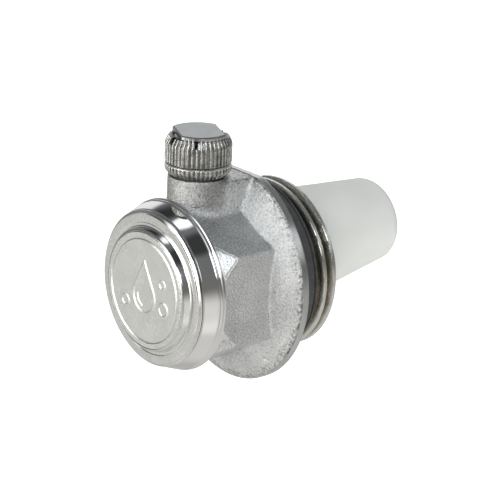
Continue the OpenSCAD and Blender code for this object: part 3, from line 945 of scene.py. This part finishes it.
# The air slots: each one's direction round the knob, and half its width.
SLOTS = ((-98, 0.5), (-43, 0.28), (82, 0.5), (137, 0.28))
SLOT_DEEP = 1.15
FLATS_TURN = 65.5
FLATS_HALF = 4.2
LOW_CHAMFER = 0.95
TOP_CHAMFER = 1.25
TOP_LEAN = 0.52


def in_slot(h, a, floor):
    """True inside an air slot, above its floor."""
    found = h < -1e9
    for slot, half in SLOTS:
        turned = (np.degrees(a) - slot + 180) % 360 - 180
        found = found | ((np.abs(np.radians(turned)) * KNOB_R < half) & (h > floor))
    return found


def vent_knob():
    """The knob's core: chamfers, groove, recess and air slots; its ridges are a piece of their own."""
    low, top = KNOB_LOW[2], KNOB_HIGH[2]
    core = KNOB_R - VALLEY
    brow = core - TOP_CHAMFER * TOP_LEAN
    outline = rounded([
        (5.4, low, 0.1), (core, low + LOW_CHAMFER, 0.2),
        (core, GROOVE - 0.35, 0.08), (core + 0.14, GROOVE - 0.28, 0.05),
        (KNOB_R - 0.06, GROOVE - 0.16, 0.06), (KNOB_R - 0.08, GROOVE - 0.08, 0.04),
        (core - 0.02, GROOVE + 0.2, 0.05), (core - 0.2, GROOVE + 0.24, 0.03),
        (core - 0.2, GROOVE + 0.4, 0.03), (core, GROOVE + 0.44, 0.05),
        (core, top - TOP_CHAMFER, 0.15), (brow, top - 0.02, 0.1), (4.72, top - 0.02, 0.05),
        (4.72, low + 3.65), (3.05, low + 3.65), (3.05, low + 0.35), (SEAT_RECESS_R, low + 0.35),
        (SEAT_RECESS_R, low, 0.05)], 0.05, 3)

    def slotted(r, h, a):
        return np.where(in_slot(h, a, top - SLOT_DEEP) & (r > 4.9), 4.9, r), h

    points, faces = turn(divided(outline, 0.2), 540, slotted)
    piece = finish_mesh("knurled_knob", on_knob_axis(points), faces, 40)
    return place_piece(piece, "knob core shaded", "vent_cap", ["vent_knob"])


def knob_ridges():
    """The knurl: one rounded ridge swept up each band, over the chamfer and up the plate's ends."""
    plan = Growth("knurl", {
        "Ridges": KNURLS, "Ridge half width": 0.25, "Knob radius": float(KNOB_R),
        "Bottom": float(KNOB_LOW[2]), "Top": float(KNOB_HIGH[2]), "Groove": float(GROOVE),
        "Low chamfer": LOW_CHAMFER, "Top chamfer": TOP_CHAMFER, "Slot depth": SLOT_DEEP,
        "Plate edge": float(PLATE_HIGH[2]) - 0.3})
    wire, low, top = plan.size("Ridge half width"), plan.size("Bottom"), plan.size("Top")

    def clamped(value, most):
        return plan.node("ShaderNodeClamp", inputs={"Value": value, "Min": 0.0, "Max": most})

    def ridge_from(start, end):
        line = plan.node("GeometryNodeMeshLine", {"mode": "END_POINTS"}, {
            "Count": 16, "Start Location": plan.point(z=start), "Offset": plan.point(z=end)})
        position = plan.node("GeometryNodeInputPosition")
        height = plan.node("ShaderNodeSeparateXYZ", inputs={0: position}, out="Z")
        brow = plan.size("Top chamfer")
        over = clamped(height - top + brow, brow)
        under = clamped(low + plan.size("Low chamfer") - height, plan.size("Low chamfer"))
        out_to = plan.size("Knob radius") - wire - over * TOP_LEAN - under * 0.75
        bent = plan.node("GeometryNodeSetPosition", inputs={
            "Geometry": line, "Position": plan.point(x=out_to, z=height)})
        path = plan.node("GeometryNodeMeshToCurve", inputs={"Mesh": bent})
        section = plan.node("GeometryNodeCurvePrimitiveCircle", {"mode": "RADIUS"}, {
            "Resolution": 10, "Radius": wire})
        return plan.node("GeometryNodeCurveToMesh", inputs={
            "Curve": path, "Profile Curve": section, "Fill Caps": True})

    def math_node(operation, first, second=0.0):
        return plan.node("ShaderNodeMath", {"operation": operation}, {0: first, 1: second})

    spots = plan.node("GeometryNodePoints", inputs={"Count": plan.size("Ridges")})
    index = plan.node("GeometryNodeInputIndex")
    turned = index * (2 * math.pi) / plan.size("Ridges")
    clear = 1.0
    for slot, half in SLOTS:
        away = math_node("PINGPONG", turned - math.radians(slot), math.pi)
        clear = clear * math_node("GREATER_THAN", away, half / KNOB_R + 0.03)
    across = math_node("ABSOLUTE", math_node("COSINE", turned - math.radians(FLATS_TURN)))
    round_end = math_node("LESS_THAN", across, FLATS_HALF / PLATE_R - 0.02)

    def round_knob(ridge, chosen):
        return plan.node("GeometryNodeInstanceOnPoints", inputs={
            "Points": spots, "Selection": chosen, "Instance": ridge,
            "Rotation": plan.point(z=turned)})

    start = plan.size("Groove") + 0.42
    ridges = plan.joined(
        round_knob(ridge_from(low + 0.12, plan.size("Groove") - 0.16), True),
        round_knob(ridge_from(start, plan.size("Plate edge")), clear * round_end),
        round_knob(ridge_from(start, top - 0.1), clear * (1.0 - round_end)),
        round_knob(ridge_from(start, top - plan.size("Slot depth")), 1.0 - clear))
    piece = plan.grow("knob_ridges", ridges, "knob ridges", (0, KNOB_Y, 0))
    return place_piece(piece, "knob ridges", "vent_cap", ["vent_knob"])


def top_plate():
    """The plate with two flats on the knob, with its plug below and the air slots in its ends."""
    low, high = PLATE_LOW[2], PLATE_HIGH[2]
    shoulder = high - 0.85
    outline = rounded([
        (0, low), (4.66, low, 0.1), (4.66, shoulder, 0.05), (PLATE_R - 0.1, shoulder, 0.08),
        (PLATE_R, shoulder + 0.15, 0.05), (PLATE_R, high - 0.22, 0.05), (PLATE_R - 0.2, high, 0.1),
        (0, high)], 0.08, 3)

    def flats(r, h, a):
        across = np.cos(a - math.radians(FLATS_TURN))
        inset = np.clip(h - (high - 0.2), 0, 0.2)
        limit = (FLATS_HALF - inset) / np.maximum(np.abs(across), 1e-3)
        r = np.where(h > shoulder - 0.3, np.minimum(r, limit), r)
        return np.where(in_slot(h, a, shoulder - 0.1) & (h < high - 0.25) & (r > 4.9), 4.9, r), h

    points, faces = turn(divided(outline, 0.4), 360, flats)
    piece = finish_mesh("knob_plate", on_knob_axis(points), faces, 30)
    return place_piece(piece, "plate", "vent_cap", ["knob_top_plate"])


# ---------------------------------------------------------------- the float

def float_shell():
    """The hollow float: a straight front, a long taper and a rounded far end with its gate mark."""
    wall, turn_r = FLOAT_WALL, FLOAT_END_ROUND
    end = [
        (FLOAT_TIP_R - turn_r + turn_r * math.cos(t), -turn_r + turn_r * math.sin(t))
        for t in np.linspace(math.radians(90), math.radians(7), 12)]
    outline = [(0, -0.25), (0.9, -0.25), (1.1, -0.2), (1.35, 0), *end]
    outline += [(FLOAT_BUTT_R, -FLOAT_TAPER), (FLOAT_BUTT_R, -FLOAT_LENGTH + 0.15)]
    outline += [(FLOAT_BUTT_R - 0.1, -FLOAT_LENGTH), (FLOAT_BUTT_R - wall, -FLOAT_LENGTH)]
    outline += [(FLOAT_BUTT_R - wall, -FLOAT_TAPER), (FLOAT_TIP_R - wall, -turn_r)]
    outline += [(FLOAT_TIP_R - wall - 2, -wall), (0, -wall)]
    points, faces = turn(divided(outline, 1.0), 256)
    piece = finish_mesh("float_shell_moulding", on_float_axis(points), faces, 40)
    return place_piece(piece, "float", "float_lever", ["float_shell"])


# ---------------------------------------------------------------- pieces kept from the frame

CARRIED = {
    "vent_nozzle": "brass", "nozzle_washer": "copper", "stem_guide": "acetal",
    "shutter_stem": "steel", "shutter_pad": "rubber", "stem_spring": "steel",
    "pivot_bracket": "steel", "bracket_screws": "steel", "hinge_pin": "steel",
    "pin_clips": "steel", "lever_arm": "steel", "arm_rivet": "steel",
    "float_end_cap": "float", "disc_carrier": "brass", "hygroscopic_discs": "fibre",
}


def dress_carried():
    """Gives the inner pieces, which keep their CAD shapes, their own finishes."""
    for name, finish in CARRIED.items():
        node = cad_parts[name]
        node.data.materials.clear()
        node.data.materials.append(FINISHES[finish])


# ---------------------------------------------------------------- studio

CAMERA_TURN = math.radians(49.87)
CAMERA_RISE = math.radians(18.66)
CAMERA_ROLL = math.radians(2.14)
CAMERA_DISTANCE = 0.4622
CAMERA_AIM = Vector((0, -0.0031, 0.0032))
CAMERA_LENS = 172.7
FLOOR_Z = -0.05


def aim_camera():
    """A long lens from the front right, a little above the axis."""
    back = Vector((
        math.sin(CAMERA_TURN) * math.cos(CAMERA_RISE),
        -math.cos(CAMERA_TURN) * math.cos(CAMERA_RISE), math.sin(CAMERA_RISE)))
    right = Vector((math.cos(CAMERA_TURN), math.sin(CAMERA_TURN), 0))
    up = back.cross(right)
    c, s = math.cos(CAMERA_ROLL), math.sin(CAMERA_ROLL)
    right, up = right * c + up * s, up * c - right * s
    data = bpy.data.cameras.new("studio_camera")
    data.lens = CAMERA_LENS
    data.sensor_width = 36
    data.clip_start = 0.01
    camera = bpy.data.objects.new("studio_camera", data)
    axes = Matrix((right, up, back)).transposed()
    camera.matrix_world = Matrix.Translation(CAMERA_AIM + back * CAMERA_DISTANCE) @ axes.to_4x4()
    bpy.context.scene.collection.objects.link(camera)
    bpy.context.scene.camera = camera


def soft_light(name, place, size, power):
    """An area light that looks at the object."""
    data = bpy.data.lights.new(name, "AREA")
    data.shape = "RECTANGLE"
    data.size, data.size_y = size
    data.energy = power
    light = bpy.data.objects.new(name, data)
    light.location = place
    light.rotation_euler = (-Vector(place)).to_track_quat("-Z", "Y").to_euler()
    bpy.context.scene.collection.objects.link(light)
    return light


# The room's strength under and over the horizon, and the tints there.
LOW_LIGHT, HIGH_LIGHT = 0.50, 0.18
WARM, COOL = (1.0, 0.995, 0.97), (0.93, 0.97, 1.0)
# Each soft box: its direction, how wide its bright middle and its edge are in degrees, its strength.
SOFT_BOXES = [
    ((-0.20, -0.96, 0.12), 11, 33, 3.30),
    ((0.74, -0.43, 0.52), 12, 17, 5.00),
    ((0.32, 0.20, -0.92), 18, 45, 0.20),
    ((-0.75, -0.57, -0.34), 18, 45, 0.16),
    ((0.90, 0.02, -0.42), 14, 34, 0.30),
    ((-0.74, 0.61, 0.29), 15, 36, 0.78),
    ((-0.08, 0.61, 0.79), 12, 30, 0.05),
    ((-0.17, 0.12, 0.98), 5, 12, 1.30),
    ((0.65, 0.61, 0.47), 6, 18, 0.80),
    ((-0.20, -0.65, -0.73), 15, 40, 0.15),
]
# Each fill light's name, place and power.
FILLS = (("front_fill", (0.55, -0.75, 0.45), 4.2), ("top_fill", (-0.2, 0.3, 0.9), 2.4))
# Dark flags, laid out in the same way; their strength is the share of the light that they take.
FLAGS = [
    ((0.42, 0.02, 0.91), 9, 20, 0.74),
    ((-0.64, 0.25, 0.73), 11, 23, 0.80),
]


def soft_room():
    """The room's light by direction: bright and warm below, dim and cool above, boxes and flags."""
    world = bpy.data.worlds.new("studio_room")
    bpy.context.scene.world = world
    room = Nodes(world, "ShaderNodeBackground", "ShaderNodeOutputWorld")
    direction = room.node("ShaderNodeTexCoord", out="Generated")
    z = room.node("ShaderNodeSeparateXYZ", inputs={0: direction}, out="Z")

    def near(place, middle, edge):
        toward = room.node("ShaderNodeVectorMath", {"operation": "DOT_PRODUCT"}, {
            0: direction, 1: tuple(Vector(place).normalized())}, out="Value")
        return room.between(toward, math.cos(math.radians(edge)), math.cos(math.radians(middle)))

    light = LOW_LIGHT - room.between(z, -0.28, 0.05) * (LOW_LIGHT - HIGH_LIGHT)
    for place, middle, edge, strength in SOFT_BOXES:
        light = light + strength * near(place, middle, edge)
    for place, middle, edge, share in FLAGS:
        light = light * (1 - share * near(place, middle, edge))
    room.tree.links.new(light.socket, room.shader.inputs["Strength"])
    tint = room.node("ShaderNodeMix", {"data_type": "RGBA"}, {
        0: room.between(z, 0.0, 0.6), 6: WARM, 7: COOL}, out=2)
    room.tree.links.new(tint.socket, room.shader.inputs["Color"])


def studio():
    """A pale floor, the room's light, and two soft fills; floor and fills stay out of reflections."""
    points, faces = turn([(0, 0), (2.5, 0)], 96, closed=False)
    mesh = bpy.data.meshes.new("floor")
    mesh.from_pydata([(p[0], p[1], FLOOR_Z) for p in points], [], faces)
    floor = bpy.data.objects.new("floor", mesh)
    bpy.context.scene.collection.objects.link(floor)
    paper = Shop("floor_paper")
    tone = paper.ramp(paper.noise(paper.place(), 0.02, 2, 0.5), [
        (0.3, (0.93, 0.93, 0.925)), (0.7, (0.96, 0.96, 0.955))])
    paper.set(Base_Color=tone, Roughness=0.9, Emission_Color=tone, Emission_Strength=0.6)
    mesh.materials.append(paper.material)
    floor.visible_glossy = False

    soft_room()
    for name, place, power in FILLS:
        soft_light(name, place, (0.6, 0.6), power).visible_glossy = False
    bpy.context.scene.view_settings.view_transform = "Standard"


# ---------------------------------------------------------------- the whole vent

forging()
flange_rim()
threaded_spigot()
collar()
front_cover()
port_seal()
o_ring("cover_ring", 13.15, 0.42, COVER_SEAT + 0.55, on_main_axis, "cover_ring", "cover_o_ring")
o_ring("knob_ring", 4.65, 0.43, BOSS_TOP + 0.45, on_knob_axis, "valve_body", "knob_o_ring")
vent_knob()
knob_ridges()
top_plate()
float_shell()
dress_carried()
studio()
aim_camera()
